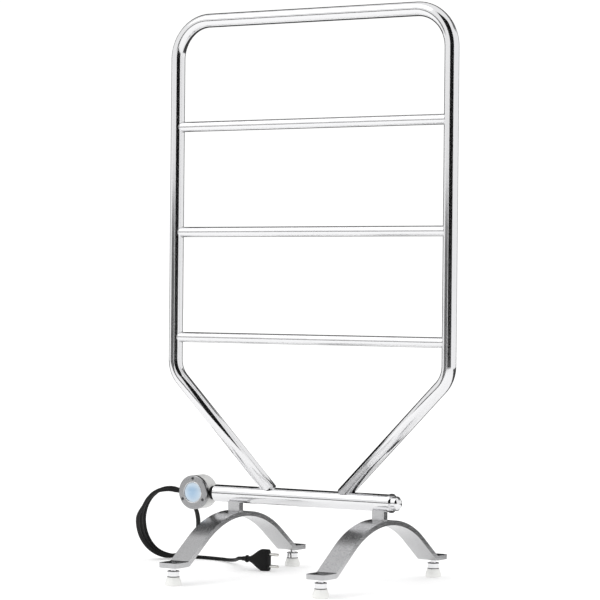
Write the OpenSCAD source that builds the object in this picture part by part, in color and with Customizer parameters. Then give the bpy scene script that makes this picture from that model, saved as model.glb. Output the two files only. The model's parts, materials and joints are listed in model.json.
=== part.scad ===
// Free-standing heated towel rack: a bent tube frame with three cross rails stands on two
// arched strap feet. A cartridge heater sits in the base tube, and a drum-shaped housing at
// its left end holds the lit push switch and the mains lead.
// Frame: +X right, +Y rear, +Z up, origin on the floor under the middle of the base tube.

/* [Frame] */
// Width over the two uprights
frame_w = 520; // [440:5:640]
// Height of the top of the frame above the floor
frame_h = 890; // [800:4:1080]
// Outer diameter of the bent frame tube
hoop_d = 22; // [18:0.5:28]
// Wall of the bent frame tube
hoop_wall = 1.5; // [1:0.1:2]
// Centreline radius of the two upper bends
top_bend_r = 60; // [45:1:80]
// Centreline radius of the two lower bends
low_bend_r = 45; // [35:1:60]
// Slope of the two lower legs from the vertical
leg_angle = 45; // [35:1:50]
// Distance between the two legs where they meet the base tube
leg_spread = 141; // [110:1:180]
// Outer diameter of the cross rails
rail_d = 16; // [12:0.5:18]
// Wall of the cross rails
rail_wall = 1.2; // [0.8:0.1:2]
// Spacing of the cross rails below the top rail
rail_pitch = 168; // [120:1:170]

/* [Base tube] */
// Outer diameter of the base tube
base_d = 27; // [25:0.2:33]
// Wall of the base tube
base_wall = 1.5; // [1:0.1:2]
// Left end of the base tube, measured from the middle
base_left = 168; // [160:1:175]
// Right end of the base tube, measured from the middle
base_right = 151; // [148:1:200]
// Diameter of the holes that join the tubes inside
port_d = 8; // [5:0.5:9]
// Diameter of the heater cartridge
heater_d = 10; // [8:0.5:12]
// Length of the heater cartridge
heater_len = 240; // [180:5:260]

/* [Feet] */
// Depth of each foot over its two tips
foot_depth = 376; // [340:2:440]
// Distance between the two feet
foot_spacing = 263; // [250:1:275]
// Width of the foot strap
strap_w = 34; // [28:1:44]
// Thickness of the foot strap
strap_t = 7.5; // [5:0.5:9]
// Outer radius of the crown of the arch
crown_r = 190; // [170:5:210]
// Slope of the straight part of the arch
arch_angle = 35; // [30:1:38]
// Length of the flat at each tip
flat_len = 34; // [30:1:42]
// Corner radius of each tip
tip_r = 5; // [2:0.5:8]
// Width of the block between base tube and strap
post_w = 21; // [18:0.5:26]
// Depth of that block
post_depth = 14; // [12:0.5:18]
// Height of that block at its middle
post_h = 13; // [11:0.5:20]

/* [Levelling glides] */
// Diameter of the white glide pad
pad_d = 25; // [20:0.5:30]
// Height of the glide pad
pad_h = 13; // [10:0.5:16]
// Diameter of the adjusting puck
puck_d = 18; // [15:0.5:20]
// Height of the adjusting puck
puck_h = 10; // [7:0.5:12]
// Gap between puck and strap at rest
puck_gap = 5; // [4:0.5:8]
// Diameter of the glide screw
stud_d = 8; // [6:0.5:10]

/* [Control housing] */
// Outer diameter of the housing
drum_d = 54; // [52:0.4:66]
// Depth of the housing, front face to rear face
drum_depth = 31; // [30:0.5:36]
// Wall of the housing
drum_wall = 2.5; // [2:0.1:3]
// Thickness of the front ring
bezel_t = 6; // [5:0.5:7]
// Diameter of the lit button
button_d = 31; // [26:0.5:32]
// Travel of the button
button_travel = 2.5; // [1.5:0.1:2.5]
// Diameter of the black nut between housing and base tube
collar_d = 22; // [18:0.5:24]

/* [Lead] */
// Diameter of the mains lead
cord_d = 6; // [5.5:0.1:6.5]
// Width of the plug body across its two pins
plug_w = 35; // [32:0.5:38]
// Thickness of the plug body
plug_t = 14; // [12:0.5:16]
// Length of the plug body
plug_len = 37; // [34:0.5:42]
// Distance between the plug's pins
pin_pitch = 19; // [18:0.5:20]

/* [Hidden] */

$fn = 64;
eps = 0.01;          // overshoot of a cutting solid
arc_step = 1;        // degrees between the points of the strap's crown
running = 0.05;      // radial clearance of a shaft that turns or slides
clear = 0.3;         // gap between pieces that move past each other

// heights, from the floor up
flat_z = pad_h + puck_h + puck_gap + strap_t / 2;
top_z = frame_h - hoop_d / 2;
half_w = frame_w / 2 - hoop_d / 2;
half_depth = foot_depth / 2;

// foot strap, on its mid-thickness line
crown_mid_r = crown_r - strap_t / 2;
strap_bend_r = 9;
crown_y = crown_mid_r * sin(arch_angle);
crown_drop = crown_mid_r * (1 - cos(arch_angle));
bend_tangent = strap_bend_r * tan(arch_angle / 2);
bend_y = half_depth - flat_len;
leg_len = (bend_y - crown_y) / cos(arch_angle);
crown_mid_z = flat_z + crown_drop + leg_len * sin(arch_angle);
crown_top_z = crown_mid_z + strap_t / 2;
stud_y = bend_y + flat_len / 2;

// base tube and frame tube
axis_z = crown_top_z + post_h + base_d / 2;
base_r = base_d / 2;
leg_top_x = leg_spread / 2;
corner_z = axis_z + base_r + (half_w - leg_top_x) / tan(leg_angle);
leg_foot_x = half_w - (corner_z - axis_z) * tan(leg_angle);
low_tangent = low_bend_r * tan(leg_angle / 2);
rails_z = [for (i = [1:3]) top_z - i * rail_pitch];

// control housing: a drum whose axis runs front to rear, centred on the base tube's height
collar_len = 8;
boss_proud = 1;      // flat boss on the drum, which the collar seats on
boss_d = 18;         // its diameter, which stays behind the front gasket
wire_gap = 0.5;      // gap at each end of an inner wire
drum_r = drum_d / 2;
drum_x = -(base_left + collar_len + boss_proud + drum_r - 1);
drum_front = -(drum_depth + 1) / 2;
drum_back = drum_front + drum_depth;
gasket_t = 0.8;
barrel_front = drum_front + bezel_t + gasket_t;
cover_t = 3;
barrel_back = drum_back - cover_t;
barrel_r = drum_r - drum_wall;
nipple_d = 10;
nipple_end = drum_x + barrel_r - 6;
nut_t = 3.4;
seat_x = nipple_end + 0.6 + nut_t;
boss_x = -(base_left + collar_len);

// button and what stands behind it
button_r = button_d / 2;
flange_r = button_r + 2.1;
flange_t = 1.8;
flange_y = drum_front + bezel_t;
carrier_y = flange_y + flange_t;
carrier_t = 1.5;
switch_y = 0;
switch_depth = 4;
board_y = switch_y + switch_depth;
board_t = 1.6;
board_r = barrel_r - 6.5;
stem_end = switch_y - button_travel - clear;
spring_wire = 0.8;
spring_r = 4.6;
block_y = board_y + board_t;
block_size = [16, 4, 10];
stem_r = 3;
led_x = 8;           // offset of the lamp from the middle of the housing

// screws
m3_r = 1.5;
m3_head_r = 2.6;
bezel_screw_r = 22;
m8_r = 4;
m8_head_r = 7.5;
m8_head_t = 4;

// lead: where it leaves the housing, its route and its plug
gland_y = 4;
gland_len = 24;
gland_x = drum_x - drum_r;
cord_r = cord_d / 2;
plug_x = -157;
plug_y = 82;
plug_z = plug_w / 2;
pin_r = 2.4;
pin_len = 19;
ring_gap = 13;       // strain relief of the plug, behind its body

exit_x = gland_x - gland_len + 1;
exit_points = [[exit_x, gland_y, axis_z], [exit_x - 15, gland_y, axis_z], [exit_x - 37, 6, 124],
    [exit_x - 55, 11, 112], [exit_x - 69, 19, 99]];
run_points = [[-340, 165, 3.4], [-318, 168, 3.2], [-295, 168, 3.2], [-268, 163, 3.4], [-241, 149, 4.6],
    [-217, 129, 8], [-197, 106, 12.5], [-184, 90, 16], [-170, 82, plug_z]];
// the loose turns lie in a plane that leans from the floor to the back of the housing
loop_centre = [-311, 73.1, 67.2];
loop_across = [40, 27, 1.5];
loop_down = [-37, 58, -62];
loop_step = [-5.2, 11, 0];
loop_taper = 0.07;
loop_start = 190;
loop_end = -620;
loop_turn_step = 30;

function loop_point(a) =
    let (turn = (200 - a) / 360)
    loop_centre + loop_across * (1.05 - loop_taper * turn) * cos(a)
        + loop_down * sin(a) + loop_step * turn;
loop_points = [for (a = [loop_start:-loop_turn_step:loop_end]) loop_point(a)];
floor_z = cord_r + 0.1;  // lowest the lead's centreline may lie
function on_floor(p) = [p[0], p[1], max(p[2], floor_z)];
cord_points = concat(exit_points, loop_points, run_points);

// ---------- helpers ----------

// a smooth curve through the points: each stretch is split into n parts
function at(p, i) = p[max(0, min(len(p) - 1, i))];
function smooth(p, n) = [for (i = [0:len(p) - 2], j = [0:n - 1])
    let (t = j / n, a = at(p, i - 1), b = p[i], c = p[i + 1], d = at(p, i + 2))
    (2 * b + (c - a) * t + (2 * a - 5 * b + 4 * c - d) * t * t
        + (3 * b - 3 * c + d - a) * t * t * t) / 2, p[len(p) - 1]];
function unit(v) = v / norm(v);

// solid tube of radius r swept along points, with flat ends square to the path
module sweep(points, r, sides, up = [0, 0, 1]) {
    last = len(points) - 1;
    rings = [for (i = [0:last])
        let (t = unit(at(points, i + 1) - at(points, i - 1)),
            side = unit(cross(t, abs(t * up) > 0.9 ? [1, 0.2, 0] : up)), rise = cross(side, t))
        for (k = [0:sides - 1]) points[i] + r * (cos(360 * k / sides) * side
            + sin(360 * k / sides) * rise)];
    walls = [for (i = [0:last - 1], k = [0:sides - 1])
        let (a = i * sides + k, b = i * sides + (k + 1) % sides)
        each [[a, b, b + sides], [a, b + sides, a + sides]]];
    caps = [[for (k = [sides - 1:-1:0]) k], [for (k = [0:sides - 1]) last * sides + k]];
    polyhedron(rings, concat(walls, caps), convexity = 8);
}

module pipe(d, bore, length) {
    difference() {
        cylinder(d = d, h = length);
        translate([0, 0, -1]) cylinder(d = bore, h = length + 2);
    }
}

module along_x(x = 0, y = 0, z = 0) {
    translate([x, y, z]) rotate([0, 90, 0]) children();
}

// +Z of the children points to the rear; the children's X stays X
module along_y(x = drum_x, y = 0, z = axis_z) {
    translate([x, y, z]) rotate([-90, 0, 0]) children();
}

module rounded_plate(length, width, height, r) {
    linear_extrude(height) {
        square([length - 2 * r, width], center = true);
        square([length, width - 2 * r], center = true);
        for (sx = [-1, 1], sy = [-1, 1])
            translate([sx * (length / 2 - r), sy * (width / 2 - r)]) circle(r = r);
    }
}

// ---------- frame ----------

// the frame tube's mid line, from the foot of the right leg over the top to the left leg's foot
function arc_xz(x, z, radius, first, last, parts) = [for (i = [0:parts])
    let (a = first + (last - first) * i / parts) [x + radius * cos(a), 0, z + radius * sin(a)]];
half_line = concat([[leg_foot_x, 0, axis_z]],
    arc_xz(half_w - low_bend_r, corner_z + low_tangent, low_bend_r, -leg_angle, 0, 6),
    arc_xz(half_w - top_bend_r, top_z - top_bend_r, top_bend_r, 0, 90, 12));
hoop_line = concat(half_line,
    [for (i = [len(half_line) - 1:-1:0]) [-half_line[i][0], 0, half_line[i][2]]]);

module frame_hoop() {
    color("silver") difference() {
        sweep(hoop_line, hoop_d / 2, 32, [0, 1, 0]);
        sweep(hoop_line, hoop_d / 2 - hoop_wall, 32, [0, 1, 0]);
        along_x(-base_left, 0, axis_z) cylinder(d = base_d, h = base_left + base_right);
        for (z = rails_z, s = [-1, 1])
            translate([s * half_w, 0, z]) rotate([0, -s * 90, 0]) cylinder(d = port_d, h = hoop_d);
    }
}

module rail(z) {
    color("silver") difference() {
        along_x(-half_w, 0, z) pipe(rail_d, rail_d - 2 * rail_wall, 2 * half_w);
        for (s = [-1, 1])
            translate([s * half_w, 0, z - rail_d]) cylinder(d = hoop_d, h = 2 * rail_d);
    }
}

module rail_upper() { rail(rails_z[0]); }
module rail_middle() { rail(rails_z[1]); }
module rail_lower() { rail(rails_z[2]); }

module base_tube() {
    color("silver") difference() {
        along_x(-base_left, 0, axis_z) pipe(base_d, base_d - 2 * base_wall, base_left + base_right);
        for (s = [-1, 1]) translate([s * leg_foot_x, 0, axis_z]) rotate([0, s * leg_angle, 0])
            cylinder(d = port_d, h = base_d);
    }
}

// ---------- heater ----------

bush_len = 14;
bush_r = base_r - base_wall;
bore_r = 3;
o_ring_r = 0.9;
o_ring_x = -base_left + bush_len / 2;
groove_r = bush_r - 2 * o_ring_r;

module element_bush() {
    color("goldenrod") difference() {
        union() {
            along_x(-base_left, 0, axis_z) cylinder(r = bush_r, h = bush_len);
            along_x(nipple_end, 0, axis_z) cylinder(d = nipple_d, h = -base_left - nipple_end + 1);
        }
        along_x(nipple_end - 1, 0, axis_z) cylinder(r = bore_r, h = 60);
        along_x(-base_left + bush_len / 2, 0, axis_z) cylinder(d = heater_d, h = bush_len);
        along_x(o_ring_x - 1.1, 0, axis_z) pipe(base_d, 2 * groove_r, 2.2);
    }
}

module element_o_ring() {
    color("black") along_x(o_ring_x, 0, axis_z) rotate_extrude()
        translate([groove_r + o_ring_r, 0]) circle(r = o_ring_r - eps, $fn = 24);
}

module heater_element() {
    color("dimgray") along_x(-base_left + bush_len / 2, 0, axis_z) difference() {
        union() {
            cylinder(d = heater_d, h = heater_len - heater_d / 2);
            translate([0, 0, heater_len - heater_d / 2]) sphere(d = heater_d);
        }
        translate([0, 0, -1]) cylinder(r = bore_r, h = 5);
    }
}

module thermal_cutout() {
    color("ivory") translate([-base_left / 2, 0, axis_z + heater_d / 2])
        translate([0, -4, 0]) cube([16, 8, 3.5]);
}

module collar_nut() {
    ribs = 24;
    color([0.06, 0.06, 0.07]) along_x(boss_x, 0, axis_z) difference() {
        union() {
            cylinder(d = collar_d - 1.2, h = collar_len);
            for (i = [0:ribs - 1]) rotate([0, 0, i * 360 / ribs])
                translate([collar_d / 2 - 0.9, 0, 1]) cylinder(r = 0.9, h = collar_len - 2, $fn = 16);
        }
        translate([0, 0, -1]) cylinder(d = nipple_d, h = collar_len + 2);
    }
}

module housing_lock_nut() {
    color("goldenrod") along_x(nipple_end + 0.6, 0, axis_z) difference() {
        cylinder(d = 15, h = nut_t, $fn = 6);
        translate([0, 0, -1]) cylinder(d = nipple_d, h = nut_t + 2);
    }
}

// ---------- end plug ----------

plug_flange_t = 3;
dome_d = 22;
dome_len = 17;

module end_plug() {
    color("lightgray") along_x(base_right, 0, axis_z) difference() {
        union() {
            cylinder(d = base_d + 2.4, h = plug_flange_t);
            translate([0, 0, plug_flange_t - 1]) cylinder(d = dome_d, h = dome_len - dome_d / 3);
            translate([0, 0, dome_len + plug_flange_t - 2 - dome_d / 2]) intersection() {
                sphere(d = dome_d);
                translate([0, 0, -1]) cylinder(d = dome_d, h = dome_d);
            }
            translate([0, 0, -10]) cylinder(d = base_d - 2 * base_wall, h = 11);
        }
        translate([0, 0, -7]) pipe(base_d, 2 * groove_r, 2.2);
    }
}

module end_plug_seal() {
    color("black") along_x(base_right - 5.9, 0, axis_z) rotate_extrude()
        translate([groove_r + o_ring_r, 0]) circle(r = o_ring_r - eps, $fn = 24);
}

// ---------- control housing ----------

module ring_places(r, count, first) {
    for (i = [0:count - 1]) rotate([0, 0, first + i * 360 / count]) translate([r, 0, 0]) children();
}

module switch_housing() {
    lug_r = 3.4;
    color("gainsboro") difference() {
        union() {
            along_y(y = barrel_front) pipe(drum_d, 2 * barrel_r, barrel_back - barrel_front);
            intersection() {
                along_y(y = barrel_front) cylinder(d = drum_d, h = barrel_back - barrel_front);
                union() {
                    along_x(seat_x, 0, axis_z) cylinder(d = 17, h = drum_r);
                    along_y(y = barrel_back - 8) ring_places(bezel_screw_r, 3, 30)
                        cylinder(r = lug_r, h = 8);
                    along_y(y = barrel_front) ring_places(bezel_screw_r, 3, 30)
                        cylinder(r = lug_r, h = 7);
                    along_x(gland_x, gland_y, axis_z) cylinder(d = 13, h = drum_wall + 2);
                }
            }
            along_x(seat_x, 0, axis_z) cylinder(d = boss_d, h = boss_x - seat_x);
        }
        along_x(seat_x - 1, 0, axis_z) cylinder(d = nipple_d, h = 20);
        along_x(gland_x - 1, gland_y, axis_z) cylinder(d = 9, h = 12);
        along_y(y = barrel_front - 1) ring_places(bezel_screw_r, 3, 30) cylinder(r = m3_r, h = 7);
        along_y(y = barrel_back - 6) ring_places(bezel_screw_r, 3, 30) cylinder(r = m3_r, h = 7);
    }
}

module bezel_gasket() {
    color([0.12, 0.12, 0.13]) along_y(y = drum_front + bezel_t) difference() {
        cylinder(d = drum_d - 1, h = gasket_t);
        translate([0, 0, -1]) cylinder(r = flange_r + 0.4, h = 4);
        translate([0, 0, -1]) ring_places(bezel_screw_r, 3, 30) cylinder(r = m3_r, h = 4);
    }
}

module bezel_ring() {
    chamfer = 1.4;
    color("silver") along_y(y = drum_front) difference() {
        union() {
            cylinder(d1 = drum_d - 2 * chamfer, d2 = drum_d, h = chamfer);
            translate([0, 0, chamfer]) cylinder(d = drum_d, h = bezel_t - chamfer);
        }
        translate([0, 0, -1]) cylinder(r = button_r + clear, h = bezel_t + 2);
        translate([0, 0, -1]) ring_places(bezel_screw_r, 3, 30) cylinder(r = m3_r, h = 10);
        translate([0, 0, -1]) ring_places(bezel_screw_r, 3, 30) cylinder(r = m3_head_r, h = 2.6);
        translate([0, 0, -1]) ring_places(bezel_screw_r, 2, 250) cylinder(r = 1.1, h = 1.4);
    }
}

module bezel_screws() {
    color("dimgray") along_y(y = drum_front) ring_places(bezel_screw_r, 3, 30) difference() {
        union() {
            translate([0, 0, 0.3]) cylinder(r = m3_head_r, h = 1.3);
            cylinder(r = m3_r, h = bezel_t + gasket_t + 5);
        }
        translate([0, 0, -1]) cylinder(r = 1.3, h = 2.1, $fn = 6);
    }
}

module button_lens() {
    crown = 2;
    dome_r = (button_r * button_r + crown * crown) / (2 * crown);
    color([0.55, 0.75, 0.92, 0.8]) along_y(y = drum_front - crown + 0.5) {
        intersection() {
            translate([0, 0, dome_r]) sphere(r = dome_r, $fn = 128);
            cylinder(r = button_r, h = flange_y - drum_front + crown - 0.5);
        }
        translate([0, 0, flange_y - drum_front + crown - 0.5 + running])
            cylinder(r = flange_r, h = flange_t - running);
        translate([0, 0, crown]) cylinder(r = button_r, h = flange_y - drum_front);
    }
}

module button_plunger() {
    color("white") along_y(y = carrier_y) difference() {
        union() {
            cylinder(r = button_r - 1.5, h = carrier_t);
            cylinder(r = stem_r, h = stem_end - carrier_y);
        }
        translate([led_x, 0, -1]) cylinder(r = 3, h = carrier_t + 2);
    }
}

module button_spring() {
    turns = 3;
    length = switch_y - carrier_y - carrier_t - spring_wire;
    per_turn = 16;
    color("silver") along_y(y = carrier_y + carrier_t + spring_wire / 2)
        sweep([for (i = [0:turns * per_turn]) let (a = i * 360 / per_turn)
            [spring_r * cos(a), spring_r * sin(a), length * i / (turns * per_turn)]],
            spring_wire / 2 - eps, 8);
}

module switch_body() {
    color([0.1, 0.1, 0.1]) translate([drum_x - 6, switch_y, axis_z - 6]) cube([12, switch_depth, 12]);
}

module indicator_led() {
    color([0.7, 0.85, 1]) along_y(x = drum_x + led_x, y = board_y - 6) {
        sphere(r = 1.5);
        cylinder(r = 1.5, h = 6);
    }
}

module control_board() {
    left_cut = 4;
    right_reach = 10;
    color("darkgreen") intersection() {
        along_y(y = board_y) cylinder(r = board_r, h = board_t);
        translate([drum_x - board_r + left_cut, board_y - 1, axis_z - board_r])
            cube([board_r - left_cut + right_reach, board_t + 2, 2 * board_r]);
    }
}

module terminal_block() {
    color("ivory") translate([drum_x - block_size[0] / 2, block_y, axis_z - block_size[2] / 2])
        cube(block_size);
}

module terminal_screws() {
    color("goldenrod") for (x = [-5, 5], z = [-2.5, 2.5])
        translate([drum_x + x, 0, axis_z + z]) rotate([-90, 0, 0])
        translate([0, 0, block_y + block_size[1]]) cylinder(r = 1.3, h = 0.6);
}

module element_leads() {
    lead_r = 0.8;
    entry = drum_x + block_size[0] / 2;
    color("saddlebrown") for (s = [-1, 1]) sweep(smooth([
        [-base_left + 6, 0, axis_z + s * 1.5], [nipple_end, 0, axis_z + s * 1.5],
        [nipple_end - 3, 2, axis_z + s * 1.8], [entry + 3.4, 6.6, axis_z + s * 2.2],
        [entry, block_y + block_size[1] / 2, axis_z + s * 2.5]], 3), lead_r, 8);
}

module cord_cores() {
    core_r = 0.9;
    inner = gland_x + drum_wall + 2 + wire_gap;
    exit = drum_x - block_size[0] / 2 - wire_gap;
    color("steelblue") for (s = [-1, 1]) sweep(smooth([[inner, gland_y, axis_z + s * 1.5],
        [inner + 3, gland_y + 0.6, axis_z + s * 1.6], [exit - 5, block_y + 2, axis_z + s * 2],
        [exit, block_y + block_size[1] / 2, axis_z + s * 2.5]], 3), core_r, 8);
}

module rear_cover() {
    color("gainsboro") difference() {
        along_y(y = barrel_back) cylinder(d = drum_d, h = cover_t);
        along_y(y = barrel_back - 1) ring_places(bezel_screw_r, 3, 30) cylinder(r = m3_r, h = 10);
        along_y(y = drum_back - 1.4) ring_places(bezel_screw_r, 3, 30) cylinder(r = m3_head_r, h = 4);
    }
}

module rear_cover_screws() {
    color("dimgray") along_y(y = barrel_back - 5) ring_places(bezel_screw_r, 3, 30) difference() {
        union() {
            cylinder(r = m3_r, h = cover_t + 5 - 0.2);
            translate([0, 0, 5 + cover_t - 1.4]) cylinder(r = m3_head_r, h = 1.2);
        }
        translate([0, 0, 5 + cover_t - 1]) cylinder(r = 1.3, h = 3, $fn = 6);
    }
}

// ---------- lead ----------

module cord_gland() {
    color([0.05, 0.05, 0.05]) along_x(gland_x + drum_wall + 2, gland_y, axis_z) mirror([0, 0, 1]) {
        cylinder(r = 4.5, h = drum_wall + 4);
        translate([0, 0, drum_wall + 4]) cylinder(r1 = 4.5, r2 = cord_r + 0.5, h = gland_len - 6);
        translate([0, 0, gland_len - 6 + drum_wall + 4])
            cylinder(r = cord_r + 0.5, h = gland_x - exit_x - (gland_len - 4));
    }
}

module power_cord() {
    color([0.04, 0.04, 0.04]) sweep([for (p = smooth(cord_points, 2)) on_floor(p)], cord_r, 8);
}

module plug_body() {
    grip = 7;
    color([0.05, 0.05, 0.05]) translate([plug_x - ring_gap, plug_y, plug_z]) {
        along_x() cylinder(r1 = cord_r + 0.5, r2 = cord_r + 1.4, h = ring_gap);
        along_x(3) cylinder(r = 5.4, h = 4);
        translate([ring_gap - 2, 0, 0]) hull() {
            along_x() cylinder(r = grip - 2, h = 5, $fn = 24);
            translate([plug_len - 12, -plug_t / 2, -plug_w / 2]) cube([14, plug_t, plug_w]);
        }
    }
}

module plug_pins() {
    front = plug_x + plug_len;
    color("silver") for (s = [-1, 1]) along_x(front, plug_y, plug_z + s * pin_pitch / 2) {
        cylinder(r = pin_r, h = pin_len - pin_r);
        translate([0, 0, pin_len - pin_r]) sphere(r = pin_r, $fn = 32);
    }
}

// ---------- feet ----------

// the strap's mid line from its middle to its rear tip, as [y, z, slope]: crown, leg, bend, flat
function strap_half() =
    let (bend_start_y = bend_y - bend_tangent * cos(arch_angle),
        bend_z = flat_z + strap_bend_r)
    concat([for (a = [0:arc_step:arch_angle])
            [crown_mid_r * sin(a), crown_mid_z - crown_mid_r * (1 - cos(a)), a]],
        [for (a = [arch_angle:-5 * arc_step:0])
            [bend_start_y + strap_bend_r * (sin(arch_angle) - sin(a)),
                bend_z - strap_bend_r * cos(a), a]],
        [[half_depth, flat_z, 0]]);
function strap_side(offset) = [for (p = strap_half())
    [p[0] + offset * sin(p[2]), p[1] + offset * cos(p[2])]];
function mirrored(points) = [for (i = [len(points) - 1:-1:1]) [-points[i][0], points[i][1]]];
function reversed(points) = [for (i = [len(points) - 1:-1:0]) points[i]];

module strap_outline() {
    upper = strap_side(strap_t / 2);
    lower = strap_side(-strap_t / 2);
    polygon(concat(mirrored(upper), upper, reversed(lower), reversed(mirrored(lower))));
}

module foot_arch(x) {
    color("silver") translate([x, 0, 0]) difference() {
        intersection() {
            translate([-strap_w / 2, 0, 0]) rotate([90, 0, 90])
                linear_extrude(strap_w) strap_outline();
            translate([0, 0, -1]) rounded_plate(strap_w, foot_depth, crown_top_z + 10, tip_r);
        }
        for (s = [-1, 1]) translate([0, s * stud_y, flat_z - strap_t])
            cylinder(d = stud_d + 2 * running, h = 2 * strap_t);
        translate([0, 0, crown_top_z - strap_t - 2]) cylinder(r = m8_r, h = strap_t + 4);
        translate([0, 0, crown_top_z - strap_t - 1]) cylinder(r = m8_head_r, h = 1 + eps);
        translate([0, 0, crown_top_z - strap_t])
            cylinder(r1 = m8_head_r, r2 = m8_r, h = m8_head_t);
    }
}

module foot_post(x) {
    thread_depth = 9;
    color("lightgray") translate([x, 0, 0]) difference() {
        translate([0, 0, crown_top_z - 3]) rounded_plate(post_w, post_depth, post_h + base_r, 2);
        along_x(-post_w, 0, crown_top_z - crown_r) cylinder(r = crown_r, h = 2 * post_w, $fn = 128);
        along_x(-post_w, 0, axis_z) cylinder(d = base_d, h = 2 * post_w);
        translate([0, 0, crown_top_z - 1]) cylinder(r = m8_r, h = thread_depth + 1);
    }
}

module foot_screw(x) {
    color("dimgray") translate([x, 0, crown_top_z - strap_t]) difference() {
        union() {
            cylinder(r1 = m8_head_r, r2 = m8_r, h = m8_head_t);
            cylinder(r = m8_r, h = strap_t + 8);
        }
        translate([0, 0, -1]) cylinder(r = 2.6, h = 4, $fn = 6);
    }
}

module foot_arch_left() { foot_arch(-foot_spacing / 2); }
module foot_arch_right() { foot_arch(foot_spacing / 2); }
module foot_post_left() { foot_post(-foot_spacing / 2); }
module foot_post_right() { foot_post(foot_spacing / 2); }
module foot_screw_left() { foot_screw(-foot_spacing / 2); }
module foot_screw_right() { foot_screw(foot_spacing / 2); }

// ---------- levelling glides ----------

pin_end_r = 3;
pin_end_len = 7;
glide_gap = 0.1;

module glide_stud(sx, sy) {
    color("silver") translate([sx * foot_spacing / 2, sy * stud_y, pad_h + glide_gap]) {
        cylinder(d1 = puck_d - 1.6, d2 = puck_d, h = 0.8);
        translate([0, 0, 0.8]) cylinder(d = puck_d, h = puck_h - 1.8);
        translate([0, 0, puck_h - 1]) cylinder(d1 = puck_d, d2 = puck_d - 2, h = 1 - glide_gap);
        cylinder(d = stud_d, h = puck_h + puck_gap + strap_t - 1);
        translate([0, 0, -pin_end_len]) cylinder(r = pin_end_r, h = pin_end_len + 1);
    }
}

module glide_pad(sx, sy) {
    color("white") translate([sx * foot_spacing / 2, sy * stud_y, 0]) difference() {
        union() {
            cylinder(d1 = pad_d - 2, d2 = pad_d, h = 1);
            translate([0, 0, 1]) cylinder(d = pad_d, h = 4);
            translate([0, 0, 5]) cylinder(d1 = pad_d, d2 = puck_d + 1, h = pad_h - 5);
        }
        translate([0, 0, pad_h - pin_end_len - clear])
            cylinder(r = pin_end_r + running, h = pin_end_len + 1);
    }
}

module glide_stud_fl() { glide_stud(-1, -1); }
module glide_stud_fr() { glide_stud(1, -1); }
module glide_stud_rl() { glide_stud(-1, 1); }
module glide_stud_rr() { glide_stud(1, 1); }
module glide_pad_fl() { glide_pad(-1, -1); }
module glide_pad_fr() { glide_pad(1, -1); }
module glide_pad_rl() { glide_pad(-1, 1); }
module glide_pad_rr() { glide_pad(1, 1); }

// ---------- drawing ----------

frame_hoop();
rail_upper();
rail_middle();
rail_lower();
base_tube();
heater_element();
element_bush();
element_o_ring();
thermal_cutout();
collar_nut();
housing_lock_nut();
end_plug();
end_plug_seal();
switch_housing();
bezel_gasket();
bezel_ring();
bezel_screws();
button_lens();
button_plunger();
button_spring();
switch_body();
indicator_led();
control_board();
terminal_block();
terminal_screws();
element_leads();
cord_cores();
rear_cover();
rear_cover_screws();
cord_gland();
power_cord();
plug_body();
plug_pins();
foot_arch_left();
foot_arch_right();
foot_post_left();
foot_post_right();
foot_screw_left();
foot_screw_right();
glide_stud_fl();
glide_stud_fr();
glide_stud_rl();
glide_stud_rr();
glide_pad_fl();
glide_pad_fr();
glide_pad_rl();
glide_pad_rr();
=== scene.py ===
"""Free-standing heated towel rack: finishes, lead, welds and studio round its fixed frame."""

import json
import math

import bpy
import numpy as np
from mathutils import Matrix, Vector


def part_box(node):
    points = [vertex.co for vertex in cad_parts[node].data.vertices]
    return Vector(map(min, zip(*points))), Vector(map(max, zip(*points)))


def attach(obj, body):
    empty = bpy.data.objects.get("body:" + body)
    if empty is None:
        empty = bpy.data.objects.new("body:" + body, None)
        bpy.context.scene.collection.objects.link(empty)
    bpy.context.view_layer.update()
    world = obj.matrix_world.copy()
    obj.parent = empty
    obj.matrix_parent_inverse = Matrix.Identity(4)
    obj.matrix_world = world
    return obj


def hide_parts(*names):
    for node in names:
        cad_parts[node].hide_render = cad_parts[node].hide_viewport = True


bl_info = {
    "name": "Heated towel rack",
    "version": (1, 0, 0),
    "blender": (4, 5, 0),
    "location": "View3D > Sidebar > Towel rack",
    "description": "Finishes, lead, welds and studio for a heated towel rack",
    "category": "Object",
}

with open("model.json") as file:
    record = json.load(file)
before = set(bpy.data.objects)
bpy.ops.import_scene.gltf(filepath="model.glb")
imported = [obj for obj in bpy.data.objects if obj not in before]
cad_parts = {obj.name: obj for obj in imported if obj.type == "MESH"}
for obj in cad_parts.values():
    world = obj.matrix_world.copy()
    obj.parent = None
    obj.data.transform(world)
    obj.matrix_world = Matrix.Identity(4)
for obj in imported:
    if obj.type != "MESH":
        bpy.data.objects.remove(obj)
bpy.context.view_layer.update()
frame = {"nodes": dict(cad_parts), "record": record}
NODES = frame["nodes"]
MM = 0.001


def middle(node):
    """Centre of a node's box at rest."""
    low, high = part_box(node)
    return (Vector(low) + Vector(high)) / 2


def spans(node):
    """Lengths of a node's box along X, Y and Z."""
    low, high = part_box(node)
    return Vector(high) - Vector(low)


AXIS_Z = middle("base_tube").z
HOUSING = middle("bezel_ring")

# the bent frame tube: sizes that its box doesn't give
LOW_BEND_R = 45 * MM
TOP_BEND_R = 60 * MM
LEG_ANGLE = math.radians(45)
HALF_LEG_SPREAD = 70.5 * MM
LEG_END = 0.72  # height of the leg's end above the base tube's axis, in radii of that tube

LATHE_PITCH = 0.35 * MM
LENS_MIDDLE = (0.44, 0.64, 0.86)
LENS_EDGE = (0.82, 0.9, 0.96)

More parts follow.
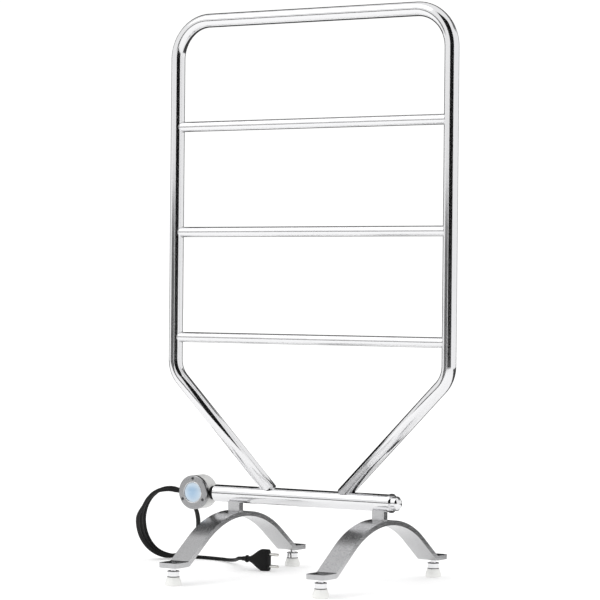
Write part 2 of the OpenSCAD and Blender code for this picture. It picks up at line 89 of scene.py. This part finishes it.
# the camera, with its angles in degrees; azimuth 0 is in front of the rack, 90 to its right
CAMERA_AZIMUTH = 31.856
CAMERA_PITCH = 0.27
CAMERA_ROLL = 0.544
CAMERA_PLACE = (2.0838, -3.3782, 0.4552)
SENSOR_WIDTH = 36.0
FAR_CLIP = 200.0

FLOOR_REACH = 40.0
FLOOR_GLOW = 0.16
LAMP_SIZE = 2.5
LAMP_POWER = 25
LAMP_PLACE = (-1.6, -2.0, 3.2)
LAMP_AIM = (0, 0, 0.4)
CARD_DISTANCE = 5.0
# name, azimuth, half angle, bottom, top, tone
UPRIGHT_CARDS = (
    ("card_front", CAMERA_AZIMUTH, 30, 0.0, 7.0, 0.01),
    ("card_back", CAMERA_AZIMUTH + 180, 42, 0.0, 6.0, 0.01),
    ("card_low", -CAMERA_AZIMUTH, 28, -0.4, 0.75, 0.12),
)
# name, left, right, near, far, height, tone
FLAT_CARDS = (
    ("card_floor", -7, 3, 0.4, 8, 0.003, 0.06),
    ("card_above", -6, 4, 2.2, 7, 4, 0.16),
)


# ---------- shader maths ----------


class Num:
    """A value socket. Arithmetic on it adds Math nodes."""

    def __init__(self, tree, socket):
        self.tree = tree
        self.socket = socket

    def math(self, operation, first, second=None):
        node = self.tree.nodes.new("ShaderNodeMath")
        node.operation = operation
        for i, value in enumerate((first, second)):
            if isinstance(value, Num):
                self.tree.links.new(value.socket, node.inputs[i])
            elif value is not None:
                node.inputs[i].default_value = value
        return Num(self.tree, node.outputs[0])

    def __add__(self, other):
        return self.math("ADD", self, other)

    def __mul__(self, other):
        return self.math("MULTIPLY", self, other)

    def sine(self):
        return self.math("SINE", self)


class Finish:
    """One procedural material, built on a Principled shader."""

    def __init__(self, name, metallic=0.0, **constants):
        self.material = bpy.data.materials.new(name)
        self.material.use_nodes = True
        self.tree = self.material.node_tree
        self.skin = self.tree.nodes["Principled BSDF"]
        self.skin.inputs["Metallic"].default_value = metallic
        for socket, value in constants.items():
            self.skin.inputs[socket.replace("_", " ")].default_value = value

    def add(self, kind, settings=(), **inputs):
        """A node of that type, its settings made first, then its values or links by socket name."""
        node = self.tree.nodes.new(kind)
        for key, value in dict(settings).items():
            setattr(node, key, value)
        for name, value in inputs.items():
            self.put(node.inputs[name], value)
        return node

    def put(self, socket, value):
        if isinstance(value, Num):
            self.tree.links.new(value.socket, socket)
        elif isinstance(value, bpy.types.NodeSocket):
            self.tree.links.new(value, socket)
        else:
            socket.default_value = value

    def place(self, scale=(1, 1, 1), centre=(0, 0, 0)):
        """Object coordinates measured from centre and stretched by scale."""
        coordinates = self.add("ShaderNodeTexCoord").outputs["Object"]
        shift = [-c * s for c, s in zip(centre, scale)]
        return self.add("ShaderNodeMapping", Vector=coordinates, Scale=scale, Location=shift).outputs[0]

    def noise(self, scale, detail=3.0):
        node = self.add("ShaderNodeTexNoise", Vector=self.place(scale), Scale=1.0, Detail=detail)
        return Num(self.tree, node.outputs[0])

    def distance(self, centre, keep):
        """Distance from centre, counting only the axes that keep marks with 1."""
        node = self.add("ShaderNodeVectorMath", {"operation": "LENGTH"}, Vector=self.place(keep, centre))
        return Num(self.tree, node.outputs["Value"])

    def colour(self, dark, light, share):
        mix = self.add("ShaderNodeMix", {"data_type": "RGBA"})
        self.put(mix.inputs[0], share)
        self.put(mix.inputs[6], (*dark, 1))
        self.put(mix.inputs[7], (*light, 1))
        self.put(self.skin.inputs["Base Color"], mix.outputs[2])

    def rough(self, value):
        self.put(self.skin.inputs["Roughness"], value)

    def bump(self, height, depth, strength=0.4):
        node = self.add("ShaderNodeBump", Strength=strength, Distance=depth, Height=height)
        self.put(self.skin.inputs["Normal"], node.outputs[0])


def shade(colour, by):
    return [min(1.0, c * by) for c in colour]


def brushed(name, colour, axis, rough=0.16, spread=0.14, depth=0.00002):
    """Metal with fine grain along one axis: noise 0.6 mm across and 25 mm long."""
    across, along = 1600, 40
    scale = [across] * 3
    scale[axis] = along
    finish = Finish(name, metallic=1.0)
    grain = finish.noise(scale)
    cloud = finish.noise((9, 9, 9), 2.0)
    finish.colour(shade(colour, 0.93), shade(colour, 1.05), grain)
    finish.rough(grain * spread + cloud * 0.06 + (rough - spread / 2))
    finish.bump(grain, depth, 0.25)
    return finish.material


def turned(name, colour, centre):
    """Metal faced on a lathe, with fine rings round centre."""
    finish = Finish(name, metallic=1.0)
    rings = (finish.distance(centre, (1, 0, 1)) * (2 * math.pi / LATHE_PITCH)).sine() * 0.5 + 0.5
    grain = finish.noise((900, 900, 900))
    finish.colour(shade(colour, 0.86), shade(colour, 1.08), grain)
    finish.rough(rings * 0.08 + grain * 0.1 + 0.2)
    finish.bump(rings, 0.00001, 0.2)
    return finish.material


def moulded(name, colour, rough=0.45, pore=2200, coat=0.0, **constants):
    """Plastic, rubber or paint: fine pores and a faint drift of tone."""
    finish = Finish(name, Coat_Weight=coat, **constants)
    pores = finish.noise((pore, pore, pore))
    drift = finish.noise((25, 25, 25), 2.0)
    finish.colour(shade(colour, 0.88), shade(colour, 1.08), drift)
    finish.rough(pores * 0.14 + drift * 0.06 + (rough - 0.1))
    finish.bump(pores, 0.00003, 0.3)
    return finish.material


def lens_blue(name, centre, radius):
    """Translucent button: deeper blue in the middle, paler towards its edge."""
    finish = Finish(name, Transmission_Weight=0.25, IOR=1.49, Coat_Weight=0.6, Alpha=1.0)
    out = finish.distance(centre, (1, 0, 1)) * (1 / radius)
    haze = finish.noise((400, 400, 400))
    finish.colour(LENS_MIDDLE, LENS_EDGE, out * out * 0.95)
    finish.rough(haze * 0.1 + 0.12)
    finish.bump(haze, 0.00002, 0.15)
    return finish.material


# roughness, its spread along the grain, tone against the record's colour, depth of the grain
METALS = {
    "polished_steel": (0.09, 0.06, 0.97, 0.000004),
    "foot_steel": (0.22, 0.2, 0.8, 0.00004),
    "bright_steel": (0.1, 0.05, 0.95, 0.000005),
    "screw_steel": (0.35, 0.12, 0.3, 0.00001),
    "heater_sheath": (0.42, 0.14, 1.0, 0.00002),
    "brass": (0.28, 0.12, 1.0, 0.00001),
    "pin_nickel": (0.18, 0.08, 0.9, 0.000005),
}
TONES = {"cord_black": 0.2, "seal_rubber": 0.4, "black_nylon": 0.25, "housing_grey": 0.88}
ROUGHNESS = {"cord_black": 0.6, "seal_rubber": 0.6, "black_nylon": 0.4, "housing_grey": 0.34}
RECORD_SLOTS = {m["slot"]: m for m in frame["record"]["materials"]}
made = {}


def finish_for(slot, node=None):
    """The finish of a material slot; metal grain runs along the node's longest side."""
    colour = RECORD_SLOTS[slot]["base_color"][:3]
    axis = int(np.argmax(spans(node))) if node else 0
    key = f"{slot}_{'xyz'[axis]}" if slot in METALS else slot
    if key not in made:
        if slot in METALS:
            rough, spread, tone, depth = METALS[slot]
            made[key] = brushed(key, shade(colour, tone), axis, rough, spread, depth)
        elif slot == "bezel_aluminium":
            made[key] = turned(key, shade(colour, 0.62), HOUSING)
        elif slot == "blue_lens":
            made[key] = lens_blue(key, HOUSING, spans("button_lens").x / 2)
        elif RECORD_SLOTS[slot]["class"] == "gloss_plastic":
            made[key] = moulded(key, colour, 0.2, coat=0.5)
        else:
            tone, rough = TONES.get(slot, 1.0), ROUGHNESS.get(slot, 0.45)
            gloss = 0.2 if tone < 0.5 else 0.5
            made[key] = moulded(key, shade(colour, tone), rough, Specular_IOR_Level=gloss)
    return made[key]


# ---------- mesh helpers ----------


def make_piece(name, points, faces, slot, body="root"):
    mesh = bpy.data.meshes.new(name)
    mesh.from_pydata(points.reshape(-1, 3).tolist(), [], faces)
    mesh.polygons.foreach_set("use_smooth", [True] * len(mesh.polygons))
    mesh.update()
    piece = bpy.data.objects.new(name, mesh)
    bpy.context.scene.collection.objects.link(piece)
    mesh.materials.append(finish_for(slot))
    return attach(piece, body)


def grid_faces(rows, columns, closed_rows):
    """Quads of a grid whose columns join up, and whose rows also do where it is a closed ring."""
    i, j = np.meshgrid(np.arange(rows if closed_rows else rows - 1), np.arange(columns), indexing="ij")
    down, right = (i + 1) % rows, (j + 1) % columns
    quads = np.stack([i * columns + j, down * columns + j, down * columns + right, i * columns + right], -1)
    return quads.reshape(-1, 4)


def facing_out(piece):
    """Turns a closed mesh's faces outwards: its signed volume has to be positive."""
    mesh = piece.data
    mesh.calc_loop_triangles()
    volume = 0.0
    for t in mesh.loop_triangles:
        a, b, c = (mesh.vertices[i].co for i in t.vertices)
        volume += a.dot(b.cross(c))
    if volume < 0:
        mesh.flip_normals()
    return piece


def tube_piece(name, sections, slot):
    """A closed tube: each row of sections is one ring of points, and both ends are capped."""
    rows, columns = sections.shape[:2]
    faces = grid_faces(rows, columns, False).tolist()
    faces += [list(range(columns)), list(range(rows * columns - 1, (rows - 1) * columns - 1, -1))]
    return facing_out(make_piece(name, sections, faces, slot))


def circle(count):
    """Evenly spaced angles once round, without the last one, which would repeat the first."""
    return np.linspace(0, 2 * math.pi, count, endpoint=False)


def smooth_path(points, parts):
    """Catmull-Rom curve: each stretch between two points is split into equal parts."""
    p = np.asarray(points, float)
    held = np.vstack([p[:1], p, p[-1:]])
    a, b, c, d = held[:-3, None], held[1:-2, None], held[2:-1, None], held[3:, None]
    t = (np.arange(parts) / parts)[None, :, None]
    curve = (2 * b + (c - a) * t + (2 * a - 5 * b + 4 * c - d) * t**2 + (3 * b - 3 * c + d - a) * t**3) / 2
    return np.vstack([curve.reshape(-1, 3), p[-1:]])


# ---------- settings ----------


class RackLeadSettings(bpy.types.PropertyGroup):
    length: bpy.props.FloatProperty(
        name="Length", description="Real length of the lead", default=1.37, unit="LENGTH"
    )
    diameter: bpy.props.FloatProperty(
        name="Diameter", description="Diameter of the lead", default=0.006, unit="LENGTH"
    )


class RackWeldSettings(bpy.types.PropertyGroup):
    bead: bpy.props.FloatProperty(
        name="Bead", description="Radius of the weld at each rail's end", default=0.0007, unit="LENGTH"
    )


class RackStageSettings(bpy.types.PropertyGroup):
    floor: bpy.props.FloatVectorProperty(
        name="Floor", description="Colour of the floor", default=(0.93, 0.93, 0.93), subtype="COLOR"
    )
    light: bpy.props.FloatProperty(name="Light", description="Strength of the room's light", default=1.05)
    lens: bpy.props.FloatProperty(name="Lens", description="Focal length in mm", default=153.4)


# ---------- lead ----------


def lead_route():
    """The lead's centreline: out of the boot, just over two leaning turns, then along the floor."""
    exit_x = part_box("cord_gland")[0][0] / MM
    gland_y = middle("cord_gland").y / MM
    axis_z = AXIS_Z / MM
    plug_z = middle("plug_body").z / MM
    leaving = [
        [exit_x, gland_y, axis_z],
        [exit_x - 15, gland_y, axis_z],
        [exit_x - 37, 6, 124],
        [exit_x - 55, 11, 112],
        [exit_x - 69, 19, 99],
    ]
    angle = np.arange(190, -621, -30)[:, None]
    turn = (200 - angle) / 360
    centre, across, down = np.array([-311, 73.1, 67.2]), np.array([40, 27, 1.5]), np.array([-37, 58, -62])
    step = np.array([-5.2, 11, 0])
    loops = (
        centre
        + across * (1.05 - 0.07 * turn) * np.cos(np.radians(angle))
        + down * np.sin(np.radians(angle))
        + step * turn
    )
    run = [
        [-340, 165, 3.4],
        [-318, 168, 3.2],
        [-295, 168, 3.2],
        [-268, 163, 3.4],
        [-241, 149, 4.6],
        [-217, 129, 8],
        [-197, 106, 12.5],
        [-184, 90, 16],
        [-170, 82, plug_z],
    ]
    path = smooth_path(np.vstack([leaving, loops, run]), 6) * MM
    lowest = 3.1 * MM
    path[:, 2] = np.maximum(path[:, 2], lowest)
    return path


def plug_shell():
    """Plug body: round ribbed neck that flares to a rounded oblong; each section is a superellipse."""
    low, high = (Vector(c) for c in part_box("plug_body"))
    neck_len, neck_r, flare_len, ease = 13 * MM, 3.6 * MM, 24 * MM, 0.4
    collar_at, collar_reach, collar_height = 8 * MM, 2.2 * MM, 2.2 * MM
    rib_count, rib_height = 4, 0.225 * MM
    edge_len, edge_depth, squareness = 1.6 * MM, 1.2 * MM, 2.2
    x = np.concatenate([np.linspace(0, neck_len, 27), np.linspace(neck_len + 0.5 * MM, high.x - low.x, 24)])
    flare = np.clip((x - neck_len) / flare_len, 0, 1)
    flare = (1 - ease) * flare + ease * flare * flare * (3 - 2 * flare)
    collar = collar_height * np.exp(-(((x - collar_at) / collar_reach) ** 2))
    ribs = rib_height * np.cos(x / neck_len * rib_count * 2 * math.pi) * (x < neck_len)
    neck = neck_r + x.clip(0, neck_len) * 0.05 + ribs + collar
    tall = neck + (spans("plug_body").z / 2 - neck) * flare
    thick = neck + (spans("plug_body").y / 2 - neck) * flare
    edge = np.clip((high.x - low.x - x) / edge_len, 0, 1)
    round_off = edge_depth * (1 - np.sqrt(1 - (1 - edge) ** 2))
    tall, thick = tall - round_off, thick - round_off
    t = circle(48)[None, :]
    power = (2 / (2 + squareness * flare))[:, None]
    y = thick[:, None] * np.sign(np.cos(t)) * np.abs(np.cos(t)) ** power
    z = tall[:, None] * np.sign(np.sin(t)) * np.abs(np.sin(t)) ** power
    centre = middle("plug_body")
    return np.stack([np.broadcast_to(low.x + x[:, None], y.shape), centre.y + y, centre.z + z], -1)


class RACK_OT_lead(bpy.types.Operator):
    """Lays the mains lead and puts the moulded plug on its end"""

    bl_idname = "rack.lead"
    bl_label = "Lead and plug"

    def execute(self, context):
        settings = context.scene.rack_lead
        path = lead_route()
        curve = bpy.data.curves.new("mains_lead", "CURVE")
        curve.dimensions = "3D"
        curve.bevel_depth = settings.diameter / 2
        curve.bevel_resolution = 4
        curve.use_fill_caps = True
        spline = curve.splines.new("POLY")
        spline.points.add(len(path) - 1)
        spline.points.foreach_set("co", np.column_stack([path, np.ones(len(path))]).ravel())
        spline.use_smooth = True
        lead = bpy.data.objects.new("mains_lead", curve)
        context.scene.collection.objects.link(lead)
        curve.materials.append(finish_for("cord_black"))
        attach(lead, "root")
        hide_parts("power_cord")

        plug = tube_piece("plug_shell", plug_shell(), "cord_black")
        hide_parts("plug_body")
        return {"FINISHED"}


# ---------- welds and rims ----------


def ring_round(centreline, bead, columns):
    """Closed bead along a closed line: at each point a circle across the line's own direction."""
    ahead = np.roll(centreline, -1, 0) - np.roll(centreline, 1, 0)
    ahead /= np.linalg.norm(ahead, axis=1)[:, None]
    outward = centreline - centreline.mean(0)
    outward -= (outward * ahead).sum(1)[:, None] * ahead
    outward /= np.linalg.norm(outward, axis=1)[:, None]
    side = np.cross(ahead, outward)
    t = circle(columns)[None, :, None]
    return centreline[:, None] + bead * (np.cos(t) * outward[:, None] + np.sin(t) * side[:, None])


def bead_piece(name, centreline, bead, slot, body="root", columns=10):
    """A round bead laid along a closed line, as a piece of its own."""
    faces = grid_faces(len(centreline), columns, True).tolist()
    facing_out(make_piece(name, ring_round(centreline, bead, columns), faces, slot, body))


def frame_line():
    """The frame tube's mid line in XZ: leg, bend, upright and bend, then the same mirrored."""
    tube_r = spans("frame_hoop").y / 2
    half_w = spans("frame_hoop").x / 2 - tube_r
    top_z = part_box("frame_hoop")[1][2] - tube_r
    base_r = spans("base_tube").z / 2
    corner_z = AXIS_Z + base_r + (half_w - HALF_LEG_SPREAD) / math.tan(LEG_ANGLE)
    bend_z = corner_z + LOW_BEND_R * math.tan(LEG_ANGLE / 2)
    foot_z = AXIS_Z + base_r * LEG_END
    foot = np.array([[half_w - (corner_z - foot_z) * math.tan(LEG_ANGLE), foot_z]])
    low_middle = np.array([half_w - LOW_BEND_R, bend_z])
    top_middle = np.array([half_w - TOP_BEND_R, top_z - TOP_BEND_R])
    low = np.linspace(-LEG_ANGLE, 0, 25)
    top = np.linspace(0, math.pi / 2, 49)
    lower = low_middle + LOW_BEND_R * np.stack([np.cos(low), np.sin(low)], -1)
    upper = top_middle + TOP_BEND_R * np.stack([np.cos(top), np.sin(top)], -1)
    half = np.vstack([foot, lower, upper])
    return np.vstack([half, half[::-1] * [-1, 1]]), tube_r


class RACK_OT_frame_tube(bpy.types.Operator):
    """Makes the smooth skin of the bent frame tube: a circle carried square to the mid line"""

    bl_idname = "rack.frame_tube"
    bl_label = "Frame tube"

    def execute(self, context):
        line, tube_r = frame_line()
        ahead = np.gradient(line, axis=0)
        ahead /= np.linalg.norm(ahead, axis=1)[:, None]
        across = np.stack([ahead[:, 1], -ahead[:, 0]], -1)
        t = circle(96)[None, :]
        x = line[:, :1] + tube_r * np.cos(t) * across[:, :1]
        z = line[:, 1:] + tube_r * np.cos(t) * across[:, 1:]
        y = np.broadcast_to(tube_r * np.sin(t), x.shape)
        tube = tube_piece("frame_tube", np.stack([x, y, z], -1), "polished_steel")
        tube.data.materials[0] = finish_for("polished_steel", "frame_hoop")
        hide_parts("frame_hoop")
        return {"FINISHED"}


class RACK_OT_welds(bpy.types.Operator):
    """Adds the fine weld where each cross rail meets an upright"""

    bl_idname = "rack.welds"
    bl_label = "Rail welds"

    def execute(self, context):
        bead = context.scene.rack_welds.bead
        upright_r = spans("frame_hoop").y / 2
        upright_x = spans("frame_hoop").x / 2 - upright_r
        t = circle(72)
        for rail in ("rail_upper", "rail_middle", "rail_lower"):
            rail_r = spans(rail).y / 2
            y, z = rail_r * np.cos(t), rail_r * np.sin(t) + middle(rail).z
            reach = upright_x - np.sqrt(upright_r**2 - y**2)
            for side, word in ((-1, "left"), (1, "right")):
                line = np.stack([side * reach, y, z], -1)
                bead_piece(f"{rail}_weld_{word}", line, bead, "polished_steel")
        return {"FINISHED"}


class RACK_OT_puck_rings(bpy.types.Operator):
    """Adds dark rings of painted shade round the top and the bottom of each levelling puck: the shaded top
    edge, and the contact shadow at its foot that is partly its real rubber base
    """

    bl_idname = "rack.puck_rings"
    bl_label = "Puck rings"

    def execute(self, context):
        bead, low_line, high_line = 0.45 * MM, 1.0 * MM, 9.0 * MM
        t = circle(64)
        for corner in ("fl", "fr", "rl", "rr"):
            stud, pad = f"glide_stud_{corner}", f"glide_pad_{corner}"
            centre, puck_r = middle(stud), spans(stud).x / 2
            pad_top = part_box(pad)[1][2]
            x, y = centre.x + puck_r * np.cos(t), centre.y + puck_r * np.sin(t)
            for height, word in ((low_line, "low"), (high_line, "high")):
                line = np.stack([x, y, np.full_like(t, pad_top + height)], -1)
                name = f"puck_shade_ring_{corner}_{word}"
                # painted shade: dark rubber-coloured beads stand in for the shade on the puck's top edge
                # and the contact shadow where it meets its pad
                bead_piece(name, line, bead, "seal_rubber", f"glide_screw_{corner}", 8)
        return {"FINISHED"}


class RACK_OT_button_rim(bpy.types.Operator):
    """Adds the bright lip round the lit button"""

    bl_idname = "rack.button_rim"
    bl_label = "Button rim"

    def execute(self, context):
        lip, outside_plunger = 0.6 * MM, 1.8 * MM
        radius = spans("button_plunger").x / 2 + outside_plunger + lip
        t = circle(96)
        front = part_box("bezel_ring")[0][1]
        x, z = HOUSING.x + radius * np.cos(t), HOUSING.z + radius * np.sin(t)
        bead_piece("button_rim", np.stack([x, np.full_like(t, front), z], -1), lip, "bright_steel")
        return {"FINISHED"}


class RACK_OT_finishes(bpy.types.Operator):
    """Gives every part of the frame its finish"""

    bl_idname = "rack.finishes"
    bl_label = "Finishes"

    def execute(self, context):
        for part in frame["record"]["subparts"]:
            node = NODES[part["node"]]
            material = finish_for(part["material_slot"], part["node"])
            if not node.material_slots:
                node.data.materials.append(material)
            for place in node.material_slots:
                place.material = material
        return {"FINISHED"}


# ---------- stage ----------


def stage_sheet(name, corners, colour, glow):
    """A flat sheet of the studio, with its own light so that it never goes grey."""
    mesh = bpy.data.meshes.new(name)
    mesh.from_pydata(corners, [], [[0, 1, 2, 3]])
    sheet = bpy.data.objects.new(name, mesh)
    bpy.context.scene.collection.objects.link(sheet)
    finish = Finish(name, Emission_Strength=glow)
    speckle = finish.noise((3, 3, 3), 1.0)
    finish.colour(shade(colour, 0.99), colour, speckle)
    finish.put(finish.skin.inputs["Emission Color"], (*colour, 1))
    finish.rough(0.9)
    finish.put(finish.skin.inputs["Specular IOR Level"], 0.0)
    mesh.materials.append(finish.material)
    return sheet


def only_reflected(card):
    """Hides a card from everything but glossy reflections."""
    card.visible_camera = False
    card.visible_diffuse = False
    card.visible_shadow = False
    card.visible_transmission = False


def upright_card(name, azimuth, half_angle, low, high, tone):
    """A dark card that stands round the rack and that only reflections see."""
    ends = []
    for a in (azimuth - half_angle, azimuth + half_angle):
        ends.append((CARD_DISTANCE * math.sin(math.radians(a)), -CARD_DISTANCE * math.cos(math.radians(a))))
    corners = [(*ends[0], low), (*ends[1], low), (*ends[1], high), (*ends[0], high)]
    only_reflected(stage_sheet(name, corners, (tone, tone, tone), 0.0))


def flat_card(name, left, right, near, far, height, tone):
    """A dark level card that only reflections see."""
    corners = [(left, near, height), (right, near, height), (right, far, height), (left, far, height)]
    only_reflected(stage_sheet(name, corners, (tone, tone, tone), 0.0))


class RACK_OT_stage(bpy.types.Operator):
    """Makes the pale floor, the soft light, the cards that the tubes reflect, and the camera"""

    bl_idname = "rack.stage"
    bl_label = "Stage"

    def execute(self, context):
        settings = context.scene.rack_stage
        reach = FLOOR_REACH
        floor = [(-reach, -reach, 0), (reach, -reach, 0), (reach, reach, 0), (-reach, reach, 0)]
        stage_sheet("floor", floor, tuple(settings.floor), FLOOR_GLOW)
        for card in UPRIGHT_CARDS:
            upright_card(*card)
        for card in FLAT_CARDS:
            flat_card(*card)

        world = bpy.data.worlds.new("studio")
        context.scene.world = world
        world.use_nodes = True
        sky = world.node_tree.nodes["Background"]
        sky.inputs["Color"].default_value = (1, 1, 1, 1)
        sky.inputs["Strength"].default_value = settings.light
        context.scene.view_settings.view_transform = "Standard"

        lamp = bpy.data.lights.new("soft_light", "AREA")
        lamp.size, lamp.energy = LAMP_SIZE, LAMP_POWER
        light = bpy.data.objects.new("soft_light", lamp)
        context.scene.collection.objects.link(light)
        light.location = LAMP_PLACE
        light.rotation_euler = (Vector(LAMP_AIM) - light.location).to_track_quat("-Z", "Y").to_euler()

        yaw, pitch, roll = (math.radians(a) for a in (CAMERA_AZIMUTH, CAMERA_PITCH, CAMERA_ROLL))
        ahead = Vector((-math.sin(yaw), math.cos(yaw), 0))
        forward = ahead * math.cos(pitch) - Vector((0, 0, math.sin(pitch)))
        level = Vector((math.cos(yaw), math.sin(yaw), 0))
        upright = level.cross(forward)
        right = level * math.cos(roll) + upright * math.sin(roll)
        up = upright * math.cos(roll) - level * math.sin(roll)
        data = bpy.data.cameras.new("camera")
        data.sensor_width, data.lens, data.clip_end = SENSOR_WIDTH, settings.lens, FAR_CLIP
        camera = bpy.data.objects.new("camera", data)
        context.scene.collection.objects.link(camera)
        turn = Matrix((right, up, -forward)).transposed().to_4x4()
        camera.matrix_world = Matrix.Translation(CAMERA_PLACE) @ turn
        context.scene.camera = camera
        return {"FINISHED"}


class RACK_PT_panel(bpy.types.Panel):
    """A button for each step of the build, and its settings"""

    bl_idname = "RACK_PT_panel"
    bl_label = "Towel rack"
    bl_space_type = "VIEW_3D"
    bl_region_type = "UI"
    bl_category = "Towel rack"

    def draw(self, context):
        for operator in OPERATORS:
            self.layout.operator(operator.bl_idname)
        for settings in (context.scene.rack_lead, context.scene.rack_welds, context.scene.rack_stage):
            for name in settings.bl_rna.properties.keys():
                if name not in ("rna_type", "name"):
                    self.layout.prop(settings, name)


OPERATORS = (
    RACK_OT_stage,
    RACK_OT_lead,
    RACK_OT_frame_tube,
    RACK_OT_finishes,
    RACK_OT_welds,
    RACK_OT_button_rim,
    RACK_OT_puck_rings,
)
SETTINGS = (
    ("rack_lead", RackLeadSettings),
    ("rack_welds", RackWeldSettings),
    ("rack_stage", RackStageSettings),
)


def register():
    for name, group in SETTINGS:
        bpy.utils.register_class(group)
        setattr(bpy.types.Scene, name, bpy.props.PointerProperty(type=group))
    for operator in OPERATORS:
        bpy.utils.register_class(operator)
    bpy.utils.register_class(RACK_PT_panel)


def unregister():
    bpy.utils.unregister_class(RACK_PT_panel)
    for operator in reversed(OPERATORS):
        bpy.utils.unregister_class(operator)
    for name, group in reversed(SETTINGS):
        delattr(bpy.types.Scene, name)
        bpy.utils.unregister_class(group)


def main():
    register()
    bpy.ops.rack.stage()
    bpy.ops.rack.lead()
    bpy.ops.rack.frame_tube()
    bpy.ops.rack.finishes()
    bpy.ops.rack.welds()
    bpy.ops.rack.button_rim()
    bpy.ops.rack.puck_rings()


if __name__ == "__main__":
    main()
